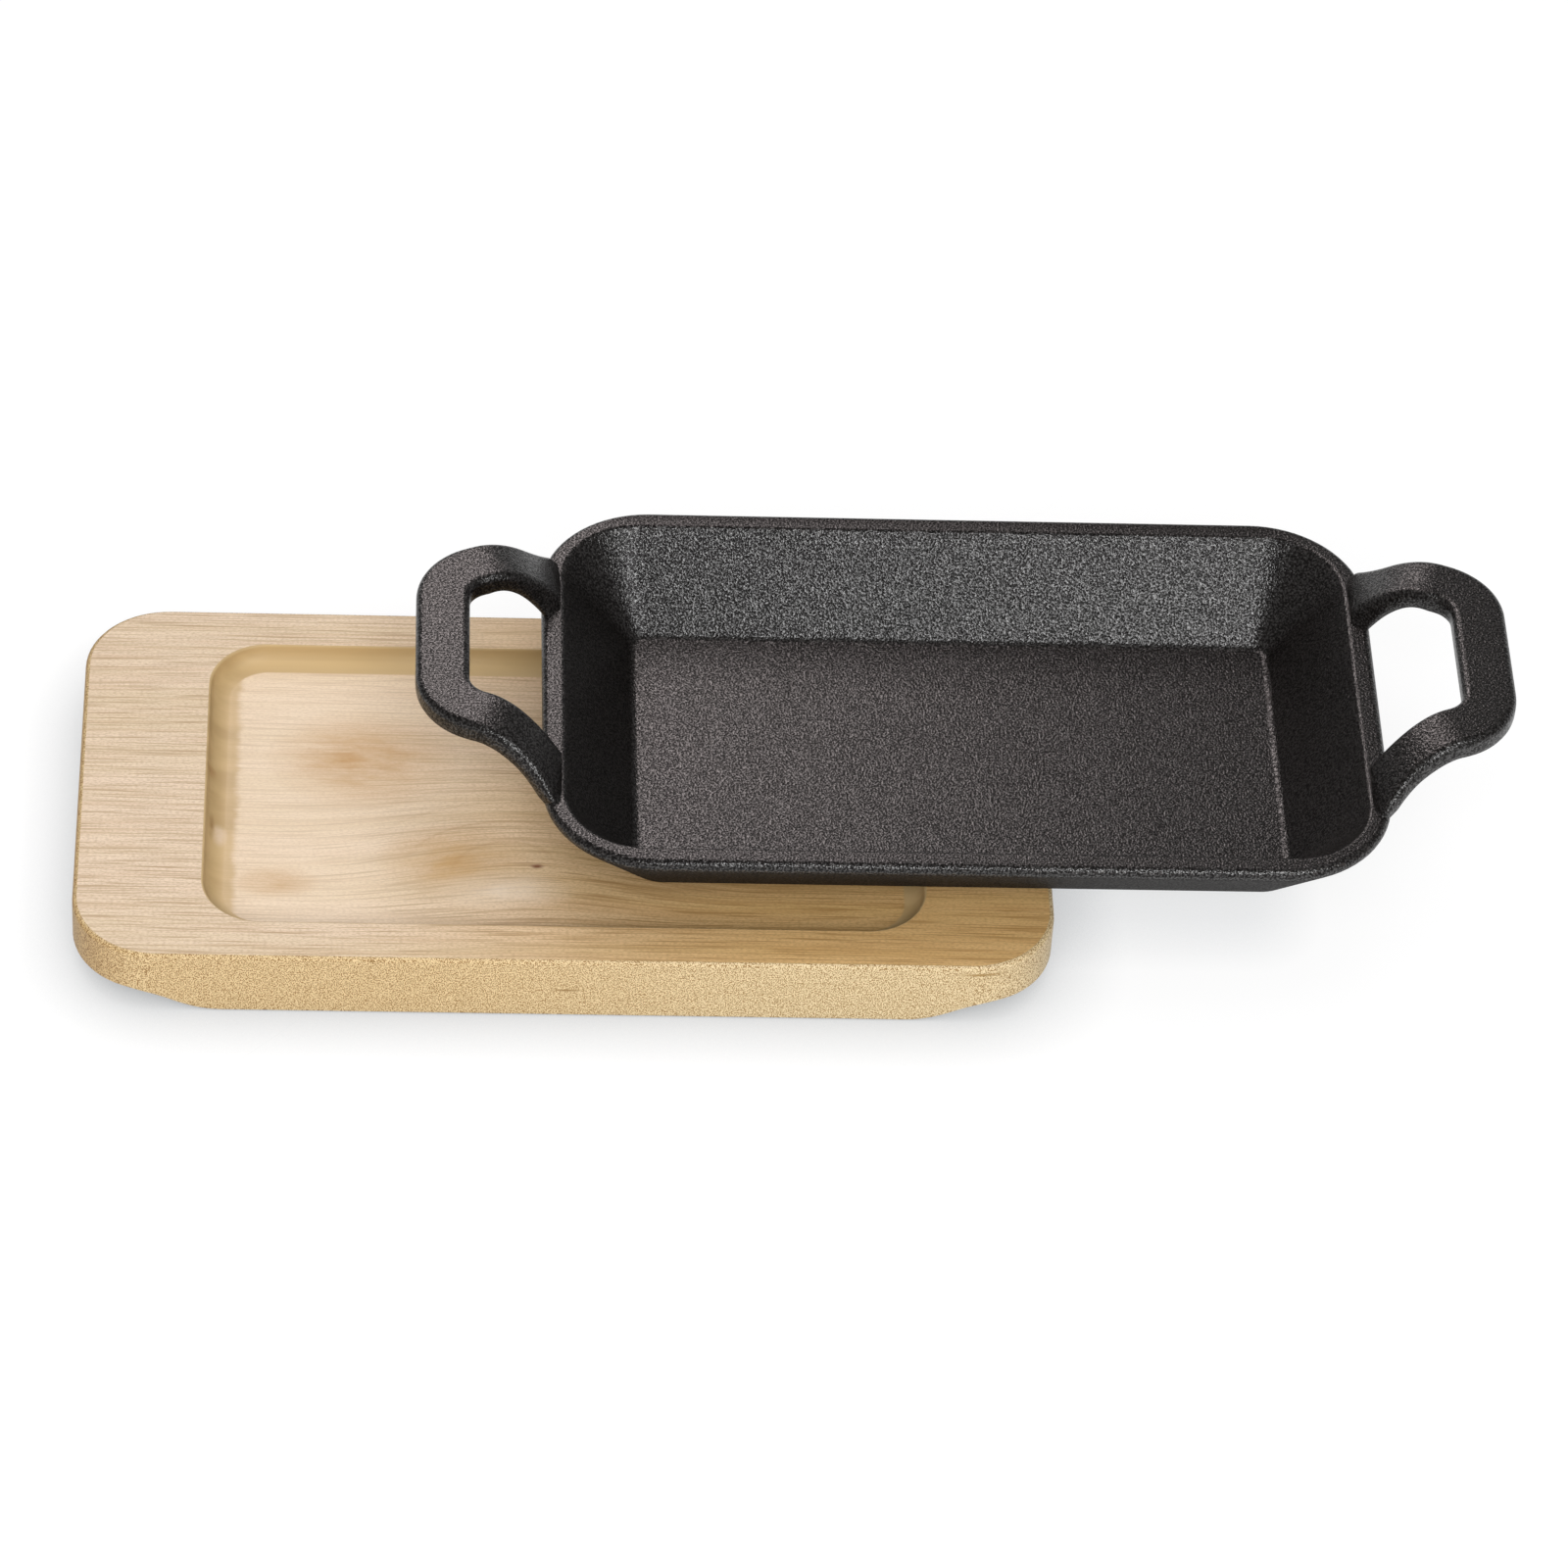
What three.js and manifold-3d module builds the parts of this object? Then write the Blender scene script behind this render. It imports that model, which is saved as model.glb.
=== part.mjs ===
// A cast iron serving dish with two loop handles, and the wooden board that it is served on.
// Millimetres, +Z up. The origin is the middle of the board's underside, on the table.
// The dish lies across the board's right end, as it does before it is set down in the recess.
import * as THREE from "three";
import { mergeVertices } from "three/addons/utils/BufferGeometryUtils.js";
import Module from "manifold-3d";

const wasm = await Module();
wasm.setup();

// Dish: a shallow tapered casting
const dishHeight = 26;
const baseLength = 158.5;
const baseWidth = 82;
const baseCorner = 9;
const baseFillet = 4;
const rimLength = 199;
const rimWidth = 122;
const rimCorner = 26.5;
const rimLand = 2.6; // upright band under the rim's outer edge
const rimThickness = 5.8;
const rimRound = 1.3;
const mouthCorner = 18.3;
const floorThickness = 4.6;
const floorInset = 2.1; // from the base outline to the floor outline
const floorCorner = 3.2;
const floorFillet = 2.4;

// Handles: straps that rise from the rim at both ends and close in a straight grip
const strapWidth = 12.7;
const strapRound = 1.9; // edges of the flat top
const strapBelly = 2.6; // edges of the underside
const gripThickness = 6.6;
const rootThickness = 4.8;
const fingerGap = 17.3; // from the rim's edge to the grip
const gripRise = 15; // top of the grip above the rim
const gripStraight = 27;
const gripBend = 12.2; // radius of the strap's middle line at the grip's ends
const armSplay = THREE.MathUtils.degToRad(22);
const armSlope = THREE.MathUtils.degToRad(56.5); // where an arm leaves the rim
const armLevelRun = 14.6; // from the rim's edge to where an arm is level
const armRootBend = 1;
const armRootSink = 0.3; // an arm's root lies this far under the rim's top
const armRootReach = 14; // how far an arm's root is carried in under the rim
const armSkew = THREE.MathUtils.degToRad(13); // an arm's root is turned this much towards the rim
const armFlare = 3.4; // an arm's outer edge spreads this much where it meets the rim
const armFlareStart = 3; // from this far out from the rim's edge
const armFlareRun = 6.6; // over this length
const armTuck = 3; // the underside's outer edge is drawn in this much there, towards the wall
const armWeb = 3; // the underside's inner edge spreads this much at the rim's edge
const armWebRun = 6.5; // over this length

// Board: one piece of hardwood
const boardLength = 230;
const boardWidth = 118.5;
const boardThickness = 18;
const boardCorner = 19.5;
const boardEase = 1.2;
const footLength = 170;
const lipRise = 6; // finger room under each end
const lipRun = 13; // length of the slope that leads up to it
const recessDepth = 5;
const coveRadius = 5;
const recessEase = 0.6;
const seatEndGap = 0.4; // between the dish's base and the recess floor, at the ends
const seatSideGap = 1.3; // the same at the long sides

// Where the middle of the dish lies, from the middle of the board
const dishAlong = 93.6;
const dishAcross = 8.4;

const cornerSteps = 10;
const filletSteps = 4;
const edgeSteps = 3;
const bendSteps = 8;
const clearCut = 4; // how far a cutting solid passes the surface that it opens
const weldGap = 1e-4; // points nearer than this are one point

// Points of a rounded rectangle at one height, anticlockwise from above
function outline(length, width, corner, z, steps = cornerSteps) {
  const points = [];
  for (let quarter = 0; quarter < 4; quarter += 1) {
    const signX = quarter === 0 || quarter === 3 ? 1 : -1;
    const signY = quarter < 2 ? 1 : -1;
    const centreX = signX * (length / 2 - corner);
    const centreY = signY * (width / 2 - corner);
    for (let step = 0; step <= steps; step += 1) {
      const angle = (quarter + step / steps) * (Math.PI / 2);
      points.push(
        new THREE.Vector3(
          centreX + corner * Math.cos(angle),
          centreY + corner * Math.sin(angle),
          z,
        ),
      );
    }
  }
  return points;
}

// A closed skin over rings of equally many points, with a fan over each end
function loft(rings) {
  const count = rings[0].length;
  const points = rings.flat();
  const index = [];
  for (let ring = 0; ring + 1 < rings.length; ring += 1) {
    for (let i = 0; i < count; i += 1) {
      const a = ring * count + i;
      const b = ring * count + ((i + 1) % count);
      index.push(a, b, b + count, a, b + count, a + count);
    }
  }
  [rings[0], rings[rings.length - 1]].forEach((ring, end) => {
    const first = end * (rings.length - 1) * count;
    const middle = points.length;
    points.push(ring.reduce((sum, p) => sum.add(p), new THREE.Vector3()).divideScalar(count));
    for (let i = 0; i < count; i += 1) {
      const next = first + ((i + 1) % count);
      index.push(...(end ? [first + i, next, middle] : [next, first + i, middle]));
    }
  });
  return new THREE.BufferGeometry().setFromPoints(points).setIndex(index);
}

// A geometry as a solid that can be cut and joined
function solid(geometry) {
  const bare = geometry.clone();
  bare.deleteAttribute("normal");
  bare.deleteAttribute("uv");
  const merged = mergeVertices(bare, weldGap);
  return new wasm.Manifold(
    new wasm.Mesh({
      numProp: 3,
      vertProperties: merged.attributes.position.array,
      triVerts: new Uint32Array(merged.index.array),
    }),
  );
}

// A solid as a named mesh in its finish
function piece(name, shape, material) {
  const made = shape.getMesh();
  const geometry = new THREE.BufferGeometry()
    .setAttribute("position", new THREE.BufferAttribute(made.vertProperties, 3))
    .setIndex(new THREE.BufferAttribute(made.triVerts, 1));
  geometry.computeVertexNormals();
  const mesh = new THREE.Mesh(geometry, material);
  mesh.name = name;
  return mesh;
}

// Steps of a fillet that turns a level surface up into a wall of the given slope:
// how far out from the sharp corner each step lies, and how high
function filletProfile(radius, slope) {
  const tangent = radius * Math.tan(slope / 2);
  return Array.from({ length: filletSteps + 1 }, (_, step) => {
    const angle = (slope * step) / filletSteps;
    return {
      out: radius * Math.sin(angle) - tangent,
      up: radius * (1 - Math.cos(angle)),
    };
  });
}

// Rings of a tray-like form, from its filleted bottom up its leaning wall
function trayRings(bottom, top, fillet) {
  const rise = top.z - bottom.z;
  const slope = Math.atan2(rise, (top.length - bottom.length) / 2);
  const rings = filletProfile(fillet, slope).map(({ out, up }) => {
    const share = up / rise;
    return outline(
      bottom.length + 2 * out,
      bottom.width + 2 * out,
      THREE.MathUtils.lerp(bottom.corner, top.corner, share),
      bottom.z + up,
    );
  });
  rings.push(outline(top.length, top.width, top.corner, top.z));
  return rings;
}

// Rings that round over an upright edge: side is 1 to close in and -1 to open out
function roundOver(edge, radius, side) {
  return Array.from({ length: filletSteps }, (_, step) => {
    const angle = ((step + 1) / filletSteps) * (Math.PI / 2);
    const inset = side * radius * (1 - Math.cos(angle));
    return outline(
      edge.length - 2 * inset,
      edge.width - 2 * inset,
      edge.corner - inset,
      edge.z + radius * Math.sin(angle),
    );
  });
}

// The dish's outer form, filled in, and the hollow that is taken out of it
function dishBody() {
  const base = { length: baseLength, width: baseWidth, corner: baseCorner, z: 0 };
  const rim = { length: rimLength, width: rimWidth, corner: rimCorner };
  const rings = trayRings(base, { ...rim, z: dishHeight - rimLand }, baseFillet);
  rings.push(outline(rim.length, rim.width, rim.corner, dishHeight - rimRound));
  rings.push(...roundOver({ ...rim, z: dishHeight - rimRound }, rimRound, 1));
  return solid(loft(rings));
}

function dishHollow() {
  const floor = {
    length: baseLength - 2 * floorInset,
    width: baseWidth - 2 * floorInset,
    corner: floorCorner,
    z: floorThickness,
  };
  const mouth = {
    length: rimLength - 2 * rimThickness,
    width: rimWidth - 2 * rimThickness,
    corner: mouthCorner,
    z: dishHeight - rimRound,
  };
  const rings = trayRings(floor, mouth, floorFillet);
  const edge = roundOver(mouth, rimRound, -1);
  rings.push(...edge);
  rings.push(edge[edge.length - 1].map((p) => p.clone().setZ(dishHeight + clearCut)));
  return solid(loft(rings));
}

// Top of an arm seen from the side: distance out from the rim's edge, height over the rim, how thick
// the strap is and how far it is turned. It runs level under the rim, turns up sharply, then eases
// off to the grip.
function armProfile() {
  const bendEnd = armRootBend * (1 - Math.cos(armSlope)) - armRootSink;
  const climb = gripRise - bendEnd;
  const climbRun = (2 * climb) / Math.tan(armSlope);
  const bendStart = armLevelRun - climbRun - armRootBend * Math.sin(armSlope);
  const root = { thickness: rootThickness, skew: armSkew };
  const line = [{ ...root, out: -armRootReach, up: -armRootSink }];
  for (let step = 0; step <= edgeSteps; step += 1) {
    const angle = (armSlope * step) / edgeSteps;
    line.push({
      ...root,
      out: bendStart + armRootBend * Math.sin(angle),
      up: armRootBend * (1 - Math.cos(angle)) - armRootSink,
    });
  }
  for (let step = 1; step <= bendSteps; step += 1) {
    const left = 1 - step / bendSteps;
    line.push({
      out: armLevelRun - climbRun * left,
      up: gripRise - climb * left * left,
      thickness: THREE.MathUtils.lerp(gripThickness, rootThickness, left),
      skew: armSkew * left,
    });
  }
  return line;
}

// Top middle line of the whole strap, from one root round the grip to the other, with its
// thickness, its turn and how far its edges spread at each point
function strapLine() {
  const rimEdge = rimLength / 2;
  const bendCentre = rimEdge + fingerGap + strapWidth / 2 - gripBend;
  const turn = Math.PI / 2 - armSplay;
  const armEndX = bendCentre + gripBend * Math.cos(turn);
  const armEndY = gripStraight / 2 + gripBend * Math.sin(turn);
  const half = armProfile().map(({ out, up, thickness, skew }) => {
    const x = rimEdge + out;
    const y = armEndY + (armEndX - x) * Math.tan(armSplay);
    return {
      at: new THREE.Vector3(x, y, dishHeight + up),
      thickness,
      skew,
      spread: THREE.MathUtils.clamp((armFlareStart - out) / armFlareRun, 0, 1) ** 2,
      web: armWeb * THREE.MathUtils.clamp(1 - out / armWebRun, 0, 1) ** 2,
    };
  });
  for (let step = 0; step <= bendSteps; step += 1) {
    const angle = turn * (1 - step / bendSteps);
    const x = bendCentre + gripBend * Math.cos(angle);
    const y = gripStraight / 2 + gripBend * Math.sin(angle);
    half.push({
      at: new THREE.Vector3(x, y, dishHeight + gripRise),
      thickness: gripThickness,
      skew: 0,
      spread: 0,
      web: 0,
    });
  }
  const mirrored = half.map((point) => ({
    ...point,
    at: new THREE.Vector3(point.at.x, -point.at.y, point.at.z),
    skew: -point.skew,
  }));
  return [...half, ...mirrored.reverse()];
}

// The strap's section, anticlockwise from its outer top edge: how far each point lies
// across from the middle line towards the outer edge, and how far up from the flat top
function strapSection(thickness, spread, web) {
  const inner = -strapWidth / 2;
  const outer = strapWidth / 2;
  const corners = [
    { across: outer + armFlare * spread, up: 0, round: strapRound, sideX: 1, sideY: 1 },
    { across: inner, up: 0, round: strapRound, sideX: -1, sideY: 1 },
    { across: inner - web, up: -thickness, round: strapBelly, sideX: -1, sideY: -1 },
    { across: outer - armTuck * spread, up: -thickness, round: strapBelly, sideX: 1, sideY: -1 },
  ];
  return corners.flatMap(({ across, up, round, sideX, sideY }, quarter) =>
    Array.from({ length: edgeSteps + 1 }, (_, step) => {
      const angle = (quarter + step / edgeSteps) * (Math.PI / 2);
      return {
        across: across + round * (Math.cos(angle) - sideX),
        up: up + round * (Math.sin(angle) - sideY),
      };
    }),
  );
}

// One loop handle, as it stands on the dish's right end
function handle() {
  const line = strapLine();
  const vertical = new THREE.Vector3(0, 0, 1);
  const rings = line.map(({ at, thickness, skew, spread, web }, i) => {
    const before = line[Math.max(0, i - 1)].at;
    const after = line[Math.min(line.length - 1, i + 1)].at;
    const along = after.clone().sub(before).normalize();
    const outward = new THREE.Vector3(-along.y, along.x, 0).normalize().applyAxisAngle(vertical, skew);
    const upward = new THREE.Vector3().crossVectors(along, outward).normalize();
    return strapSection(thickness, spread, web).map(({ across, up }) =>
      at.clone().addScaledVector(outward, across).addScaledVector(upward, up),
    );
  });
  return loft(rings);
}

function castDish() {
  const right = solid(handle());
  const left = solid(handle().rotateZ(Math.PI));
  return dishBody().add(right).add(left).subtract(dishHollow());
}

// A slab of the board's outline from one height up to the board's top, with its edges eased
function slab(bottom) {
  const side = { length: boardLength, width: boardWidth, corner: boardCorner };
  const upper = roundOver({ ...side, z: boardThickness - boardEase }, boardEase, 1);
  const lower = upper.map((ring) =>
    ring.map((p) => p.clone().setZ(bottom + boardThickness - p.z)),
  );
  const rings = [
    ...lower.reverse(),
    outline(boardLength, boardWidth, boardCorner, bottom + boardEase),
    outline(boardLength, boardWidth, boardCorner, boardThickness - boardEase),
    ...upper,
  ];
  return solid(loft(rings));
}

// The part of the board's length that its foot takes up, sloping out to the lips where fingers
// reach in under the ends
function footPrism() {
  const half = footLength / 2;
  const below = half - (clearCut * lipRun) / lipRise;
  const shape = new THREE.Shape();
  shape.moveTo(-below, -clearCut);
  shape.lineTo(below, -clearCut);
  shape.lineTo(half + lipRun, lipRise);
  shape.lineTo(half + lipRun, lipRise + 2 * boardEase);
  shape.lineTo(-half - lipRun, lipRise + 2 * boardEase);
  shape.lineTo(-half - lipRun, lipRise);
  const prism = new THREE.ExtrudeGeometry(shape, {
    depth: boardWidth + 2 * clearCut,
    bevelEnabled: false,
  });
  prism.translate(0, 0, -boardWidth / 2 - clearCut);
  prism.rotateX(Math.PI / 2);
  return solid(prism);
}

// The recess that the dish's base sits down in, with a coved wall and an eased edge. Where the
// dish's wall leans out further than the cove does, the recess opens with it.
function boardRecess() {
  const floorLength = baseLength + 2 * seatEndGap;
  const floorWidth = baseWidth + 2 * seatSideGap;
  const lean = Math.max(rimLength - baseLength, rimWidth - baseWidth) / 2 / (dishHeight - rimLand);
  const opening = Math.max(0, lean * recessDepth - coveRadius);
  const floor = boardThickness - recessDepth;
  const coveEnd = Math.acos(1 - (recessDepth - recessEase) / coveRadius);
  const steps = Array.from({ length: filletSteps + 1 }, (_, step) => {
    const angle = (step / filletSteps) * coveEnd;
    return { out: coveRadius * Math.sin(angle), up: coveRadius * (1 - Math.cos(angle)) };
  });
  const edge = steps[filletSteps];
  for (let step = 1; step <= edgeSteps; step += 1) {
    const angle = (step / edgeSteps) * (Math.PI / 2);
    steps.push({
      out: edge.out + recessEase * (1 - Math.cos(angle)),
      up: edge.up + recessEase * Math.sin(angle),
    });
  }
  steps.push({ out: edge.out + recessEase, up: recessDepth + clearCut });
  const rings = steps.map(({ out, up }) => {
    const reach = out + opening * Math.min(up / recessDepth, 1);
    return outline(floorLength + 2 * reach, floorWidth + 2 * reach, baseCorner + reach, floor + up);
  });
  return solid(loft(rings));
}

function servingBoard() {
  const foot = slab(0).intersect(footPrism());
  return slab(lipRise).add(foot).subtract(boardRecess());
}

const seasonedIron = new THREE.MeshStandardMaterial({
  color: "#3b3735",
  roughness: 0.6,
  metalness: 0.35,
});
const paleBeech = new THREE.MeshStandardMaterial({
  color: "#d8bc95",
  roughness: 0.65,
  metalness: 0,
});

const dish = piece("cast_iron_dish", castDish(), seasonedIron);
dish.position.set(dishAlong, dishAcross, boardThickness);
const board = piece("serving_board", servingBoard(), paleBeech);

const group = new THREE.Group();
group.add(board, dish);

export default group;
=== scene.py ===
import math

import bmesh
import bpy
from mathutils import Matrix, Vector


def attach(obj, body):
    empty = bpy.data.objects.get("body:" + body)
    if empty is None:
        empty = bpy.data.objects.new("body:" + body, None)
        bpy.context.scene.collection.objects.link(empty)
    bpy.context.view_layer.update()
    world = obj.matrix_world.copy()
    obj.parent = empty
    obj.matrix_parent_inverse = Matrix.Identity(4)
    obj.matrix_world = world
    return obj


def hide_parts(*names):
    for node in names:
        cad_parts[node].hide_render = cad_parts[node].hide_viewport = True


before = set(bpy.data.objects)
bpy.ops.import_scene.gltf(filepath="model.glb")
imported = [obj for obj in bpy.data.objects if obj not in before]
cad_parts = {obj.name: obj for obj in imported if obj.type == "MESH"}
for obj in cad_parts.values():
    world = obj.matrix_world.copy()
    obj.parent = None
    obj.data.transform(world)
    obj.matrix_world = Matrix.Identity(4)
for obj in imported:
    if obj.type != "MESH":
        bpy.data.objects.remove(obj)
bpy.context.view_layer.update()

# Serving board
# A single piece of pale, close-grained hardwood, sawn to a rounded rectangle and sanded smooth.
# A router cuts the coved recess that the dish sits in, and the ends are undercut for the fingers.
mm = 0.001
board_length, board_width, board_thickness = 230 * mm, 118.5 * mm, 18 * mm
board_corner, board_corner_steps = 19.5 * mm, 16
top_ease, recess_ease, under_ease = 1.2 * mm, 0.6 * mm, 1 * mm
foot_half, lip_run, lip_rise = 85 * mm, 13 * mm, 6 * mm
lip_ease, lip_scores = 5 * mm, 7
recess_length, recess_width, recess_corner = 159.3 * mm, 84.6 * mm, 9 * mm
recess_depth, cove_radius, cove_steps = 5 * mm, 5 * mm, 8
board_crease = 40


def pick_ring(piece, *rings):
    # Selects, in edit mode, only the points that belong wholly to the named rings.
    bpy.ops.mesh.select_mode(type="VERT")
    bpy.ops.mesh.select_all(action="DESELECT")
    shape = bmesh.from_edit_mesh(piece.data)
    weights = shape.verts.layers.deform.verify()
    groups = [piece.vertex_groups[ring].index for ring in rings]
    for point in shape.verts:
        if any(point[weights].get(group, 0) > 0.99 for group in groups):
            point.select_set(True)
    shape.select_flush(True)
    bmesh.update_edit_mesh(piece.data)


def skin_over(name, rings, corner_steps, cuts):
    # A closed shell over level rounded outlines, each named and given as length, width, corner
    # radius and height. Cuts says how often the wall up to an outline is divided. The shell is
    # left in edit mode.
    bpy.ops.object.select_all(action="DESELECT")
    bpy.ops.mesh.primitive_plane_add(size=1)
    piece = bpy.context.object
    piece.name = piece.data.name = name
    bpy.ops.object.mode_set(mode="EDIT")
    for number, (ring, (length, width, corner, height)) in enumerate(rings.items()):
        if number:
            bpy.ops.mesh.primitive_plane_add(size=1)
        bpy.ops.transform.resize(value=(length, width, 1), center_override=(0, 0, 0))
        bpy.ops.transform.translate(value=(0, 0, height))
        bpy.ops.mesh.bevel(
            offset=corner, segments=corner_steps, affect="VERTICES", clamp_overlap=False
        )
        piece.vertex_groups.new(name=ring)
        piece.vertex_groups.active_index = number
        bpy.ops.object.vertex_group_assign()
        bpy.ops.mesh.delete(type="ONLY_FACE")
    names = list(rings)
    for below, above in zip(names, names[1:]):
        pick_ring(piece, below, above)
        bpy.ops.mesh.bridge_edge_loops(number_cuts=cuts.get(above, 0), interpolation="LINEAR")
    for end in (names[0], names[-1]):
        pick_ring(piece, end)
        bpy.ops.mesh.edge_face_add()
    bpy.ops.mesh.select_all(action="SELECT")
    bpy.ops.mesh.normals_make_consistent(inside=False)
    return piece


def soften(piece, ring, width, steps):
    # Rounds the edge that runs along a ring.
    pick_ring(piece, ring)
    bpy.ops.mesh.bevel(offset=width, segments=steps, affect="EDGES")


board_rings = {
    "foot": (board_length, board_width, board_corner, 0),
    "top_edge": (board_length, board_width, board_corner, board_thickness),
}
for step in range(cove_steps, -1, -1):
    turn = step / cove_steps * math.pi / 2
    out = cove_radius * math.sin(turn)
    board_rings[f"cove_{step}"] = (
        recess_length + 2 * out,
        recess_width + 2 * out,
        recess_corner + out,
        board_thickness - recess_depth + cove_radius * (1 - math.cos(turn)),
    )
board = skin_over("beech_board", board_rings, board_corner_steps, {})
soften(board, "top_edge", top_ease, steps=4)
soften(board, f"cove_{cove_steps}", recess_ease, steps=3)


def pick(piece, kind, wanted):
    # Selects, in edit mode, only the faces or edges that are wanted.
    bpy.ops.mesh.select_mode(type=kind)
    bpy.ops.mesh.select_all(action="DESELECT")
    shape = bmesh.from_edit_mesh(piece.data)
    shape.normal_update()
    for part in shape.faces if kind == "FACE" else shape.edges:
        if wanted(part):
            part.select_set(True)
    bmesh.update_edit_mesh(piece.data)


# The undercut: the underside is scored across over the two soft bends of each slope, and what lies
# beyond the foot is raised. Then the edge all round the underside is eased.
lip_bends = (foot_half, foot_half + lip_run)
for bend in lip_bends:
    for score in range(lip_scores):
        cut = bend + lip_ease * (2 * score / (lip_scores - 1) - 1)
        for end in (-1, 1):
            pick(board, "FACE", lambda face: face.normal.z < -0.9)
            bpy.ops.mesh.bisect(plane_co=(end * cut, 0, 0), plane_no=(1, 0, 0))
shape = bmesh.from_edit_mesh(board.data)
for point in shape.verts:
    on_underside = point.co.z < 0.1 * mm
    if on_underside:
        climbs = []
        for bend in lip_bends:
            past = abs(point.co.x) - bend
            within = min(max(past, -lip_ease), lip_ease) + lip_ease
            climbs.append(max(past, within**2 / (4 * lip_ease)))
        point.co.z = (climbs[0] - climbs[1]) * lip_rise / lip_run
bmesh.update_edit_mesh(board.data)
pick(
    board,
    "EDGE",
    lambda edge: min(face.normal.z for face in edge.link_faces) < -0.5
    and max(face.normal.z for face in edge.link_faces) > -0.3,
)
bpy.ops.mesh.bevel(offset=under_ease, segments=3, affect="EDGES")
bpy.ops.object.mode_set(mode="OBJECT")


def finish_shading(piece, crease):
    # Smooth shading that keeps flat faces flat, and edges sharp where they turn by more than the
    # crease, in degrees.
    bpy.ops.object.select_all(action="DESELECT")
    piece.select_set(True)
    bpy.context.view_layer.objects.active = piece
    bpy.ops.object.shade_smooth_by_angle(angle=math.radians(crease))
    weighted = piece.modifiers.new("weighted", "WEIGHTED_NORMAL")
    weighted.keep_sharp = True
    bpy.ops.object.modifier_apply(modifier=weighted.name)
    piece.vertex_groups.clear()


finish_shading(board, board_crease)


def linear(colour):
    # An sRGB hex colour as the linear values that a shader takes.
    channels = [int(colour[at:at + 2], 16) / 255 for at in (1, 3, 5)]
    return [c / 12.92 if c <= 0.04045 else ((c + 0.055) / 1.055) ** 2.4 for c in channels] + [1]


def add_node(tree, kind, inputs={}, output=0, **settings):
    # Adds a node with its settings, with each input either set or linked, and gives one output.
    node = tree.nodes.new(kind)
    for name, value in settings.items():
        setattr(node, name, value)
    for socket, value in inputs.items():
        if isinstance(value, bpy.types.NodeSocket):
            tree.links.new(value, node.inputs[socket])
        else:
            node.inputs[socket].default_value = value
    return node.outputs[output]


# The colour sockets of a Mix node share their names, so they go by number: how much is mixed in,
# the two colours and the result.
mix_by, mix_from, mix_to, mixed = 0, 6, 7, 2

# Sanded beech: pinkish cream on the face, more golden towards the right end and wherever the cut
# crosses the fibres, with drifting growth bands, fine lines along the board and short flecks.
beech = bpy.data.materials.new("sanded_beech")
beech.use_nodes = True
tree = beech.node_tree
surface = tree.nodes["Principled BSDF"]
place = add_node(tree, "ShaderNodeTexCoord", output="Object")
spot = add_node(tree, "ShaderNodeSeparateXYZ", {0: place}).node.outputs
normal = add_node(tree, "ShaderNodeNewGeometry", output="Normal")
facing = add_node(tree, "ShaderNodeSeparateXYZ", {0: normal}).node.outputs

# The grain wanders sideways along the board, and over the front of the recess the growth rings
# that the router opened arch forward.
drift_size, drift_way, arch_way = (150, 40, 24), (0, 4 * mm, 3 * mm), (0, -8 * mm, 0)
drift = add_node(
    tree,
    "ShaderNodeMapping",
    {"Vector": place, "Scale": [1 / (side * mm) for side in drift_size]},
)
drift = add_node(
    tree, "ShaderNodeTexNoise", {"Vector": drift, "Scale": 1, "Detail": 1}, output="Color"
)
drifted = add_node(
    tree, "ShaderNodeVectorMath", {0: drift, 1: drift_way, 2: place}, operation="MULTIPLY_ADD"
)
arch = add_node(
    tree,
    "ShaderNodeMapping",
    {"Vector": place, "Location": Vector((-8, -16, 13)) * mm, "Scale": Vector((60, 36, 14)) * mm},
    vector_type="TEXTURE",
)
arch = add_node(
    tree, "ShaderNodeTexGradient", {0: arch}, output="Fac", gradient_type="SPHERICAL"
)
arch = add_node(tree, "ShaderNodeMapRange", {"Value": arch}, interpolation_type="SMOOTHSTEP")
drifted = add_node(
    tree, "ShaderNodeVectorMath", {0: arch, 1: arch_way, 2: drifted}, operation="MULTIPLY_ADD"
)

# Each pattern in the wood, with its size along x, y and z in millimetres. Real beech flecks and
# fibres are finer, and are drawn as coarse as they need to be to show.
patterns = {}
for pattern, vector, size, detail, roughness in (
    ("bands", drifted, (190, 7, 7), 3, 0.5),
    ("streaks", drifted, (45, 1.5, 1.5), 2, 0.5),
    ("lines", drifted, (24, 0.42, 0.42), 2, 0.65),
    ("pores", place, (0.9, 0.36, 0.36), 1, 0.5),
    ("flecks", place, (0.26, 0.26, 0.36), 1, 0.5),
    ("blotches", drifted, (9, 3, 3), 3, 0.6),
):
    stretched = add_node(
        tree,
        "ShaderNodeMapping",
        {"Vector": vector, "Scale": [1 / (mm * side) for side in size]},
    )
    patterns[pattern] = add_node(
        tree,
        "ShaderNodeTexNoise",
        {"Vector": stretched, "Scale": 1, "Detail": detail, "Roughness": roughness},
    )

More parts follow.
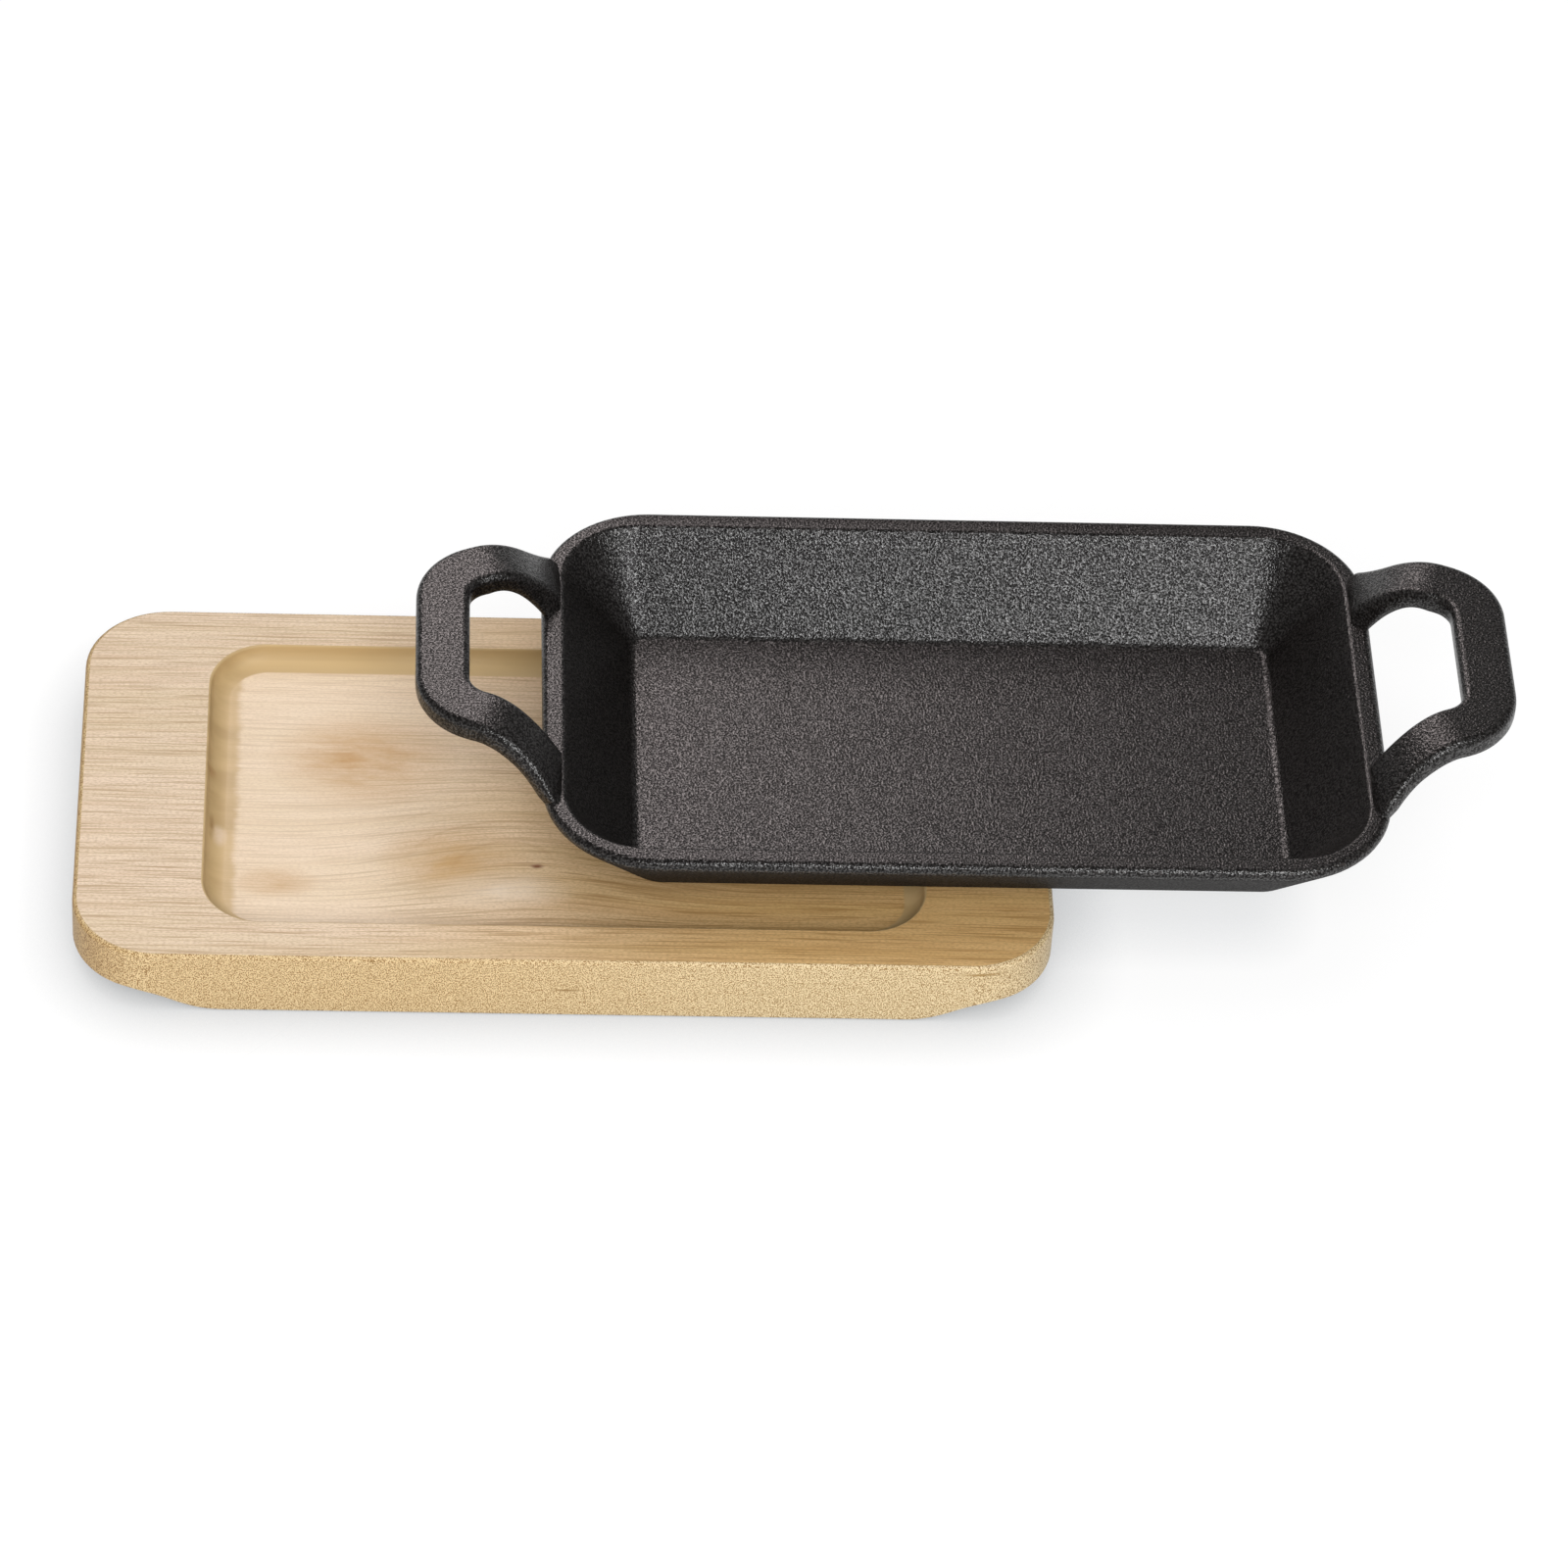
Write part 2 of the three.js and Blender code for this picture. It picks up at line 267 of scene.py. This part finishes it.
# How much of each tone shows: a value between two limits, spread smoothly from none to most.
tones = {}
for tone, value, low, high, none, most in (
    ("band", patterns["bands"], 0.35, 0.68, 0, 1),
    ("golden end", spot["X"], -70 * mm, 55 * mm, 0, 1),
    ("streak", patterns["streaks"], 0.45, 0.7, 0, 0.35),
    ("line", patterns["lines"], 0.46, 0.7, 0, 1),
    ("pore", patterns["pores"], 0.4, 0.68, 0, 0.5),
    ("fleck", patterns["flecks"], 0.395, 0.555, 0, 1),
    ("level", facing["Z"], 0.985, 0.9999, 0, 1),
    ("painted shade on left half", spot["X"], 75 * mm, -45 * mm, 0, 1),
    ("left end", facing["X"], -0.15, -0.85, 0, 0.9),
    ("sunk", spot["Z"], 14 * mm, 16 * mm, 1, 0),
    ("painted light falloff", spot["X"], -65 * mm, 5 * mm, 0.4, 0),
):
    tones[tone] = add_node(
        tree,
        "ShaderNodeMapRange",
        {"Value": value, "From Min": low, "From Max": high, "To Min": none, "To Max": most},
        interpolation_type="SMOOTHSTEP",
    )

# The inside of the recess, up to just past its eased edge: the coved wall there is smooth and
# golden, and the sawn sides of the board are flecked.
recess_reach = (85.3 * mm, 48 * mm, 1)
inward = add_node(tree, "ShaderNodeVectorMath", {0: place}, operation="ABSOLUTE")
inward = add_node(tree, "ShaderNodeVectorMath", {0: inward, 1: recess_reach}, operation="DIVIDE")
inward = add_node(tree, "ShaderNodeSeparateXYZ", {0: inward}).node.outputs
inward = add_node(tree, "ShaderNodeMath", {0: inward["X"], 1: inward["Y"]}, operation="MAXIMUM")
inward = add_node(tree, "ShaderNodeMath", {0: inward, 1: 1}, operation="LESS_THAN")
in_recess = add_node(tree, "ShaderNodeMath", {0: inward, 1: tones["sunk"]}, operation="MULTIPLY")
# Painted light: the recess floor is made paler, most towards its left end, to lift the shade that
# the dish and the recess cast on it.
tones["recess floor"] = add_node(
    tree, "ShaderNodeMath", {0: in_recess, 1: tones["painted light falloff"]}, operation="MULTIPLY"
)
face = linear("#e2ccb2")
for tone, colour, way in (
    ("band", "#dac5a5", "MIX"),
    ("streak", "#c4a27c", "MIX"),
    ("line", "#b0946f", "MIX"),
    ("pore", "#b59a7a", "MIX"),
    ("golden end", "#fce7b8", "MULTIPLY"),
    # Painted light on the recess floor.
    ("recess floor", "#f8e2c6", "MIX"),
):
    face = add_node(
        tree,
        "ShaderNodeMix",
        {mix_by: tones[tone], mix_from: face, mix_to: linear(colour)},
        mixed,
        data_type="RGBA",
        blend_type=way,
    )
side = linear("#8c6a35")
for tone, colour, way in (
    ("fleck", "#dec99f", "MIX"),
    # Painted shade: the left half of the sides is darkened a little, as if light fell more from the
    # right.
    ("painted shade on left half", "#f9f2e8", "MULTIPLY"),
    # Painted shade: the sides that face left are darkened, as if less light reached them.
    ("left end", "#e2d6c2", "MULTIPLY"),
):
    side = add_node(
        tree,
        "ShaderNodeMix",
        {mix_by: tones[tone], mix_from: side, mix_to: linear(colour)},
        mixed,
        data_type="RGBA",
        blend_type=way,
    )
cove = add_node(
    tree,
    "ShaderNodeMix",
    {mix_by: tones["band"], mix_from: linear("#c6a979"), mix_to: linear("#b6996a")},
    mixed,
    data_type="RGBA",
)
turned = add_node(
    tree,
    "ShaderNodeMix",
    {mix_by: inward, mix_from: side, mix_to: cove},
    mixed,
    data_type="RGBA",
)
wood = add_node(
    tree,
    "ShaderNodeMix",
    {mix_by: tones["level"], mix_from: turned, mix_to: face},
    mixed,
    data_type="RGBA",
)

# At the left end the cove's tone runs out on to the floor, with an uneven edge.
cove_foot_from, cove_foot_to, cove_foot_most, unevenness = -74.8 * mm, -77.3 * mm, 0.85, 3 * mm
uneven = add_node(
    tree,
    "ShaderNodeMath",
    {0: patterns["blotches"], 1: unevenness, 2: spot["X"]},
    operation="MULTIPLY_ADD",
)
cove_foot = add_node(
    tree,
    "ShaderNodeMapRange",
    {
        "Value": uneven,
        "From Min": cove_foot_from,
        "From Max": cove_foot_to,
        "To Max": cove_foot_most,
    },
    interpolation_type="SMOOTHSTEP",
)
cove_foot = add_node(tree, "ShaderNodeMath", {0: cove_foot, 1: in_recess}, operation="MULTIPLY")
wood = add_node(
    tree,
    "ShaderNodeMix",
    {mix_by: cove_foot, mix_from: wood, mix_to: cove},
    mixed,
    data_type="RGBA",
)

# Marks: in the recess brown smudges, a pale patch and a pin knot, three scuffs in the cove, and two
# short cracks in the front. The pale patch is partly painted light, lifting the shade under the
# dish's left handle. Each has its middle and its reach in millimetres, its colour and how strong it
# is.
for middle, reach, colour, strength in (
    ((-48, 13, 13), (24, 18, 9), "#b5853f", 1.5),
    ((-68, -29, 13), (11, 6, 9), "#b5853f", 1.1),
    ((-26, -21, 13), (19, 13, 9), "#c4954f", 1.3),
    # Partly painted light: a pale patch that lifts the shade under the dish's left handle.
    ((-15, -31, 13), (18, 7, 9), "#f4e4d0", 1.0),
    ((-6.3, -22.6, 13), (2, 0.9, 9), "#7c4a28", 2.2),
    ((-81.4, -14.4, 14), (2.2, 4.2, 4), "#e4cfbc", 1.5),
    ((-83.3, -12.6, 15), (0.9, 5, 4), "#8f6a38", 1.4),
    ((-83.8, 5.6, 16), (1.6, 2.6, 4), "#9a6f3c", 1.4),
    ((0.7, -59.2, 8.6), (5, 2, 0.5), "#8a6a38", 2.6),
    ((98, -58.9, 15.6), (8, 3, 0.6), "#9a7a44", 2),
):
    amount = add_node(
        tree,
        "ShaderNodeMapping",
        {"Vector": place, "Location": Vector(middle) * mm, "Scale": Vector(reach) * mm},
        vector_type="TEXTURE",
    )
    amount = add_node(
        tree, "ShaderNodeTexGradient", {0: amount}, output="Fac", gradient_type="SPHERICAL"
    )
    for factor in (strength, patterns["blotches"]):
        amount = add_node(tree, "ShaderNodeMath", {0: amount, 1: factor}, operation="MULTIPLY")
    wood = add_node(
        tree,
        "ShaderNodeMix",
        {mix_by: amount, mix_from: wood, mix_to: linear(colour)},
        mixed,
        data_type="RGBA",
    )

# Growth rings show as thin arches on one stretch of the floor. Their gap, and the width of a line,
# are parts of the size of the oval that they follow.
ring_gap, ring_line, ring_strength = 0.3, 0.05, 0.4
ring = add_node(
    tree,
    "ShaderNodeMapping",
    {
        "Vector": drifted,
        "Location": Vector((-14, -29, 13)) * mm,
        "Scale": Vector((21, 14, 60)) * mm,
    },
    vector_type="TEXTURE",
)
ring = add_node(tree, "ShaderNodeVectorMath", {0: ring}, "Value", operation="LENGTH")
ring = add_node(tree, "ShaderNodeMath", {0: ring, 1: ring_gap}, operation="PINGPONG")
ring = add_node(
    tree,
    "ShaderNodeMapRange",
    {"Value": ring, "From Max": ring_line, "To Min": ring_strength, "To Max": 0},
    interpolation_type="SMOOTHSTEP",
)
stretch = add_node(
    tree,
    "ShaderNodeMapping",
    {"Vector": place, "Location": Vector((-16, -12, 13)) * mm, "Scale": Vector((30, 14, 9)) * mm},
    vector_type="TEXTURE",
)
stretch = add_node(
    tree, "ShaderNodeTexGradient", {0: stretch}, output="Fac", gradient_type="SPHERICAL"
)
ring = add_node(tree, "ShaderNodeMath", {0: ring, 1: stretch}, operation="MULTIPLY")
wood = add_node(
    tree,
    "ShaderNodeMix",
    {mix_by: ring, mix_from: wood, mix_to: linear("#a87c48")},
    mixed,
    data_type="RGBA",
)
tree.links.new(wood, surface.inputs["Base Color"])
surface.inputs["Roughness"].default_value = 0.55
grain = add_node(
    tree,
    "ShaderNodeBump",
    {"Height": patterns["lines"], "Strength": 0.35, "Distance": 0.1 * mm},
)
tree.links.new(grain, surface.inputs["Normal"])
board.data.materials.append(beech)
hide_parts("serving_board")
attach(board, "board")

# Cast iron dish
# A shallow tray and two loop handles poured as one casting in a sand mould, then seasoned with oil.
# The walls lean out, and the corners open from tight at the floor to wide at the rim.
base_length, base_width, base_corner, base_round = 158.5 * mm, 82 * mm, 9 * mm, 1.83 * mm
rim_length, rim_width, rim_height, rim_corner = 199 * mm, 122 * mm, 26 * mm, 26.5 * mm
rim_land, rim_thickness, rim_foot_round = 2.6 * mm, 5.8 * mm, 0.8 * mm
rim_round, rim_outer_round = 1.3 * mm, 1.75 * mm
floor_length, floor_width, floor_height = 154.3 * mm, 77.8 * mm, 4.6 * mm
floor_corner, floor_round = 3.2 * mm, 1.13 * mm
mouth_corner, mouth_steps, wall_lean = 18.3 * mm, 6, math.radians(39)
dish_corner_steps, wall_cuts, dish_crease = 18, 5, 38
dish_place = (93.6 * mm, 8.4 * mm, board_thickness)

dish = skin_over(
    "iron_dish",
    {
        "base": (base_length, base_width, base_corner, 0),
        "rim_foot": (rim_length, rim_width, rim_corner, rim_height - rim_land),
        "rim_top": (rim_length, rim_width, rim_corner, rim_height),
    },
    dish_corner_steps,
    {"rim_foot": wall_cuts},
)
soften(dish, "base", base_round, steps=6)
soften(dish, "rim_foot", rim_foot_round, steps=3)
soften(dish, "rim_top", rim_outer_round, steps=6)
bpy.ops.object.mode_set(mode="OBJECT")

# The hollow, with the rounding of the rim's inner edge, which reaches above the rim to cut it open.
hollow_above = 4 * mm
mouth_length, mouth_width = rim_length - 2 * rim_thickness, rim_width - 2 * rim_thickness
mouth_rings = {"floor": (floor_length, floor_width, floor_corner, floor_height)}
for step in range(mouth_steps + 1):
    turn = wall_lean + step / mouth_steps * (math.pi / 2 - wall_lean)
    out = rim_round * (1 - math.cos(turn))
    mouth_rings[f"mouth_{step}"] = (
        mouth_length + 2 * out,
        mouth_width + 2 * out,
        mouth_corner + out,
        rim_height - rim_round + rim_round * math.sin(turn),
    )
mouth_rings["above"] = (*mouth_rings[f"mouth_{mouth_steps}"][:3], rim_height + hollow_above)
hollow = skin_over("hollow", mouth_rings, dish_corner_steps, {"mouth_0": wall_cuts})
soften(hollow, "floor", floor_round, steps=5)
bpy.ops.object.mode_set(mode="OBJECT")

# The strap of a handle is laid out flat as half of its plan, from the grip's middle round the bend
# and back to the rim, then its arm is bent down to the rim and it is mirrored and thickened.
strap_width, grip_thickness, root_thickness = 12.7 * mm, 6.6 * mm, 4.8 * mm
strap_upper_round, strap_lower_round = 1.9 * mm, 2.6 * mm
finger_gap, grip_rise = 17.3 * mm, 15 * mm
grip_straight, grip_bend, grip_bend_steps = 27 * mm, 12.2 * mm, 16
arm_splay, arm_slope, arm_skew = math.radians(22), math.radians(56.5), math.radians(13)
arm_level_run, arm_root_reach, arm_cuts = 14.6 * mm, 14 * mm, 79
root_bend, root_sink = 1.6 * mm, 0.5 * mm
arm_flare, flare_start, flare_run = 3.4 * mm, 3 * mm, 6.6 * mm
arm_lean, web_lean, web_run = 3 * mm, 5 * mm, 10 * mm
tolerance = 0.01 * mm
grip_x = rim_length / 2 + finger_gap + strap_width / 2
grip_z = rim_height + grip_rise
bend_x = grip_x - grip_bend
bpy.ops.object.select_all(action="DESELECT")
bpy.ops.mesh.primitive_plane_add(size=1)
handles = bpy.context.object
handles.name = "handles"
bpy.ops.object.mode_set(mode="EDIT")
bpy.ops.transform.resize(value=(strap_width, grip_straight / 2, 1), center_override=(0, 0, 0))
bpy.ops.transform.translate(value=(grip_x, grip_straight / 4, grip_z))
pick(handles, "EDGE", lambda edge: min(point.co.y for point in edge.verts) > 0.4 * grip_straight)
bpy.ops.mesh.spin(
    steps=grip_bend_steps,
    angle=arm_splay - math.pi / 2,
    center=(bend_x, grip_straight / 2, grip_z),
    axis=(0, 0, 1),
)
arm_start = Vector((bend_x, grip_straight / 2))
arm_start += grip_bend * Vector((math.sin(arm_splay), math.cos(arm_splay)))
arm_way = Vector((-math.cos(arm_splay), math.sin(arm_splay)))
arm_side = Vector((arm_way.y, -arm_way.x))
arm_length = (arm_start.x - rim_length / 2 + arm_root_reach) / math.cos(arm_splay)
bpy.ops.mesh.extrude_region_move(TRANSFORM_OT_translate={"value": (*(arm_length * arm_way), 0)})
pick(handles, "EDGE", lambda edge: edge.calc_length() > 0.9 * arm_length)
bpy.ops.mesh.subdivide(number_cuts=arm_cuts)
bpy.ops.object.mode_set(mode="OBJECT")

# Along the arm, out is how far a point is from the rim, and foot is where the slope ends. Each
# point is skewed, flared and lowered, and keeps its thickness and how far its underside leans.
climb = grip_rise + root_sink - root_bend * (1 - math.cos(arm_slope))
climb_run = 2 * climb / math.tan(arm_slope)
foot = arm_level_run - climb_run
thickness_group = handles.vertex_groups.new(name="thickness")
lean_group = handles.vertex_groups.new(name="lean")
for point in handles.data.vertices:
    along = (point.co.xy - arm_start).dot(arm_way)
    across = (point.co.xy - arm_start).dot(arm_side)
    thickness, lean = 1, 0
    if along > -tolerance:
        out = arm_start.x + along * arm_way.x - rim_length / 2
        descent = min(max((arm_level_run - out) / climb_run, 0), 1)
        spread = min(max((flare_start - out) / flare_run, 0), 1) ** 2
        web = min(max((web_run - out) / (web_run - foot), 0), 1) ** 2
        outer = across > 0
        reach = across + (arm_flare * spread if outer else 0)
        turn = math.pi / 2 - arm_splay + arm_skew * descent
        skewed = reach * Vector((math.cos(turn), math.sin(turn)))
        point.co.xy = arm_start + along * arm_way + skewed
        point.co.z = grip_z - climb * descent * descent
        if out < foot:
            run = max(out - foot + root_bend * math.sin(arm_slope), 0)
            point.co.z = rim_height - root_sink + root_bend - math.sqrt(root_bend**2 - run**2)
        thickness = 1 + (root_thickness / grip_thickness - 1) * descent
        lean = arm_lean * spread if outer else web_lean * web
    thickness_group.add([point.index], thickness, "REPLACE")
    lean_group.add([point.index], lean / web_lean, "REPLACE")
mirror = handles.modifiers.new("mirror", "MIRROR")
mirror.use_axis = (True, True, False)
mirror.merge_threshold = tolerance
bpy.ops.object.modifier_apply(modifier=mirror.name)
bpy.ops.object.mode_set(mode="EDIT")
bpy.ops.mesh.select_all(action="SELECT")
bpy.ops.mesh.normals_make_consistent(inside=False)
shape = bmesh.from_edit_mesh(handles.data)
if sum(face.normal.z for face in shape.faces) < 0:
    bpy.ops.mesh.flip_normals()
bpy.ops.object.mode_set(mode="OBJECT")
top_points = len(handles.data.vertices)
thicken = handles.modifiers.new("thicken", "SOLIDIFY")
thicken.thickness = grip_thickness
thicken.offset = -1
thicken.vertex_group = "thickness"
bpy.ops.object.modifier_apply(modifier=thicken.name)
for point in list(handles.data.vertices)[top_points:]:
    lean = web_lean * handles.vertex_groups["lean"].weight(point.index)
    point.co.y -= math.copysign(lean, point.co.y)

# The strap's upper and lower edges are rounded, except deep inside the wall. Every point is marked
# as on the upper or the lower face, and the edges lie along the strap's upright sides.
upper, lower = 1, 2
rounded_from = 87 * mm
for level, rounding in ((upper, strap_upper_round), (lower, strap_lower_round)):
    bpy.ops.object.mode_set(mode="EDIT")
    shape = bmesh.from_edit_mesh(handles.data)
    shape.verts.ensure_lookup_table()
    for face in shape.faces:
        face.select_set(False)
    if level == upper:
        mark = shape.verts.layers.int.new("level")
        for point in shape.verts:
            point[mark] = upper if point.index < top_points else lower
    mark = shape.verts.layers.int["level"]
    for face in shape.faces:
        on_side = {point[mark] for point in face.verts} == {upper, lower}
        reach = max(abs(point.co.x) for point in face.verts)
        if on_side and abs(face.normal.z) < 0.95 and reach > rounded_from:
            for edge in face.edges:
                if all(point[mark] == level for point in edge.verts):
                    edge.select_set(True)
    bmesh.update_edit_mesh(handles.data)
    bpy.ops.mesh.bevel(offset=rounding, segments=5, affect="EDGES")
    bpy.ops.object.mode_set(mode="OBJECT")


def combine(piece, other, operation):
    # Joins another closed solid to a piece, or cuts it out of it, and uses it up.
    bpy.ops.object.select_all(action="DESELECT")
    bpy.context.view_layer.objects.active = piece
    boolean = piece.modifiers.new("combine", "BOOLEAN")
    boolean.operation = operation
    boolean.object = other
    boolean.solver = "EXACT"
    bpy.ops.object.modifier_apply(modifier=boolean.name)
    bpy.data.objects.remove(other)


combine(dish, handles, "UNION")
combine(dish, hollow, "DIFFERENCE")
bpy.ops.object.mode_set(mode="EDIT")
bpy.ops.mesh.select_all(action="SELECT")
bpy.ops.transform.translate(value=dish_place)
bpy.ops.object.mode_set(mode="OBJECT")
finish_shading(dish, dish_crease)

# Seasoned sand-cast iron: near black under a thin oil film, with the sand's grain all over it, so
# that a highlight breaks up into fine bright specks. The grain is drawn coarser than real, to show.
sand_grain, rubbed_and_glint_fleck, sand_relief = 0.5 * mm, 1.3 * mm, 0.2 * mm
iron = bpy.data.materials.new("seasoned_iron")
iron.use_nodes = True
tree = iron.node_tree
surface = tree.nodes["Principled BSDF"]
place = add_node(tree, "ShaderNodeTexCoord", output="Object")
spot = add_node(tree, "ShaderNodeSeparateXYZ", {0: place}).node.outputs
normal = add_node(tree, "ShaderNodeNewGeometry", output="Normal")
facing_up = add_node(tree, "ShaderNodeSeparateXYZ", {0: normal}, output="Z")
sand = add_node(
    tree,
    "ShaderNodeTexNoise",
    {"Vector": place, "Scale": 1 / sand_grain, "Detail": 1, "Roughness": 0.5},
)
rubbing_and_glint = add_node(
    tree,
    "ShaderNodeTexNoise",
    {"Vector": place, "Scale": 1 / rubbed_and_glint_fleck, "Detail": 3, "Roughness": 0.7},
)
tones = {}
for tone, value, low, high, none, most in (
    ("grain", sand, 0.35, 0.7, 0, 1),
    ("worn and glint", rubbing_and_glint, 0.55, 0.68, 0, 0.5),
    ("oil film", sand, 0.38, 0.72, 0.15, 1),
    ("rear rim", spot["Y"], 62.5 * mm, 68.5 * mm, 1, 0.45),
    ("smooth outside", facing_up, -0.6, -0.1, 0.4, 1),
    ("dull outside", facing_up, -0.6, -0.1, 0.75, 0.3),
):
    tones[tone] = add_node(
        tree,
        "ShaderNodeMapRange",
        {"Value": value, "From Min": low, "From Max": high, "To Min": none, "To Max": most},
        interpolation_type="SMOOTHSTEP",
    )
# The outside of the walls, which lean out, is duller and smoother, and the rear rim is dull too.
for tone in ("rear rim", "smooth outside"):
    tones["oil film"] = add_node(
        tree, "ShaderNodeMath", {0: tones["oil film"], 1: tones[tone]}, operation="MULTIPLY"
    )
# The rim's edges, which face neither up nor sideways, are rubbed bare in small lighter flecks,
# which also serve as a painted highlight along those edges.
for value, middle, reach in ((facing_up, 0.6, 0.33), (spot["Z"], 43.4 * mm, 0.7 * mm)):
    on_edge = add_node(
        tree, "ShaderNodeMath", {0: value, 1: middle, 2: reach}, operation="COMPARE"
    )
    tones["worn and glint"] = add_node(
        tree, "ShaderNodeMath", {0: tones["worn and glint"], 1: on_edge}, operation="MULTIPLY"
    )
colour = linear("#0b0908")
for tone, next_colour in (("grain", "#191513"), ("worn and glint", "#4a4543")):
    colour = add_node(
        tree,
        "ShaderNodeMix",
        {mix_by: tones[tone], mix_from: colour, mix_to: linear(next_colour)},
        mixed,
        data_type="RGBA",
    )
tree.links.new(colour, surface.inputs["Base Color"])
tree.links.new(tones["dull outside"], surface.inputs["Roughness"])
surface.inputs["IOR"].default_value = 1.56
tree.links.new(tones["oil film"], surface.inputs["Specular IOR Level"])
relief = add_node(
    tree,
    "ShaderNodeBump",
    {"Height": sand, "Strength": tones["smooth outside"], "Distance": sand_relief},
)
tree.links.new(relief, surface.inputs["Normal"])
dish.data.materials.append(iron)
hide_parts("cast_iron_dish")
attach(dish, "dish")

# Floor, light and camera
# A white table under soft boxes, seen from above and in front, with a long lens.
bpy.ops.object.select_all(action="DESELECT")
bpy.ops.mesh.primitive_plane_add(size=60)
table = bpy.context.object
table.name = "table"
# A lit white table top: it glows, so that it stays white and broad shadows on it stay faint. Close
# under an object the glow is painted darker and cooler, as a painted soft contact shadow.
shadow_reach, glow_strength = 20.5 * mm, 0.83
white = bpy.data.materials.new("white_table")
white.use_nodes = True
tree = white.node_tree
surface = tree.nodes["Principled BSDF"]
surface.inputs["Base Color"].default_value = linear("#7a7a7a")
surface.inputs["Roughness"].default_value = 0.9
painted_shadow_clearance = add_node(
    tree, "ShaderNodeAmbientOcclusion", {"Distance": shadow_reach}, "AO", samples=4
)
glow = add_node(
    tree,
    "ShaderNodeMix",
    {mix_by: painted_shadow_clearance, mix_from: linear("#979ea5"), mix_to: linear("#ffffff")},
    mixed,
    data_type="RGBA",
)
tree.links.new(glow, surface.inputs["Emission Color"])
surface.inputs["Emission Strength"].default_value = glow_strength
table.data.materials.append(white)

# The room is plain white, and dimmer in reflections, as dark cloths beside the set would make it.
room_light, room_reflected = 0.43, 0.28
world = bpy.data.worlds.new("studio")
world.use_nodes = True
bpy.context.scene.world = world
tree = world.node_tree
room = tree.nodes["Background"]
room.inputs["Color"].default_value = linear("#ffffff")
reflected = add_node(tree, "ShaderNodeLightPath", output="Is Glossy Ray")
strength = add_node(
    tree,
    "ShaderNodeMapRange",
    {"Value": reflected, "To Min": room_light, "To Max": room_reflected},
)
tree.links.new(strength, room.inputs["Strength"])


def soft_box(name, place, aim, size, power):
    # A square area lamp that faces a point, in metres and watts.
    lamp = bpy.data.lights.new(name, "AREA")
    lamp.size = size
    lamp.energy = power
    box = bpy.data.objects.new(name, lamp)
    bpy.context.collection.objects.link(box)
    box.location = place
    box.rotation_euler = (Vector(aim) - Vector(place)).to_track_quat("-Z", "Y").to_euler()
    box.visible_camera = False
    return box


# Two soft boxes light the object, and two cards only show as reflections.
key_box = soft_box("key_box", (-0.03, 0.25, 1.7), aim=(0.05, 0.02, 0), size=1.3, power=6.3)
key_box.visible_glossy = False
front_fill = soft_box("front_fill", (-0.05, -1.13, 0.95), aim=(0.03, 0, 0), size=0.9, power=16.6)
front_fill.visible_glossy = False
front_card = soft_box("front_card", (0.52, -1.12, 1.0), aim=(0.05, 0, 0), size=0.55, power=14)
front_card.visible_diffuse = False
back_card = soft_box("back_card", (-0.065, 0.5, 0.52), aim=(0, 0.02, 0.03), size=0.36, power=2.22)
back_card.visible_diffuse = False
back_card.data.color = (1, 0.88, 0.87)

camera_aim, camera_distance = Vector((54, 20.55, 0)) * mm, 1.767
elevation, azimuth, roll = math.radians(43.65), math.radians(4.41), math.radians(4.01)
turn = (
    Matrix.Rotation(-azimuth, 4, "Z")
    @ Matrix.Rotation(math.pi / 2 - elevation, 4, "X")
    @ Matrix.Rotation(roll, 4, "Z")
)
camera = bpy.data.objects.new("camera", bpy.data.cameras.new("camera"))
bpy.context.collection.objects.link(camera)
camera.data.lens = 167.5
camera.data.clip_end = 100
camera.matrix_world = (
    Matrix.Translation(camera_aim) @ turn @ Matrix.Translation((0, 0, camera_distance))
)
bpy.context.scene.camera = camera
bpy.context.scene.view_settings.view_transform = "Standard"
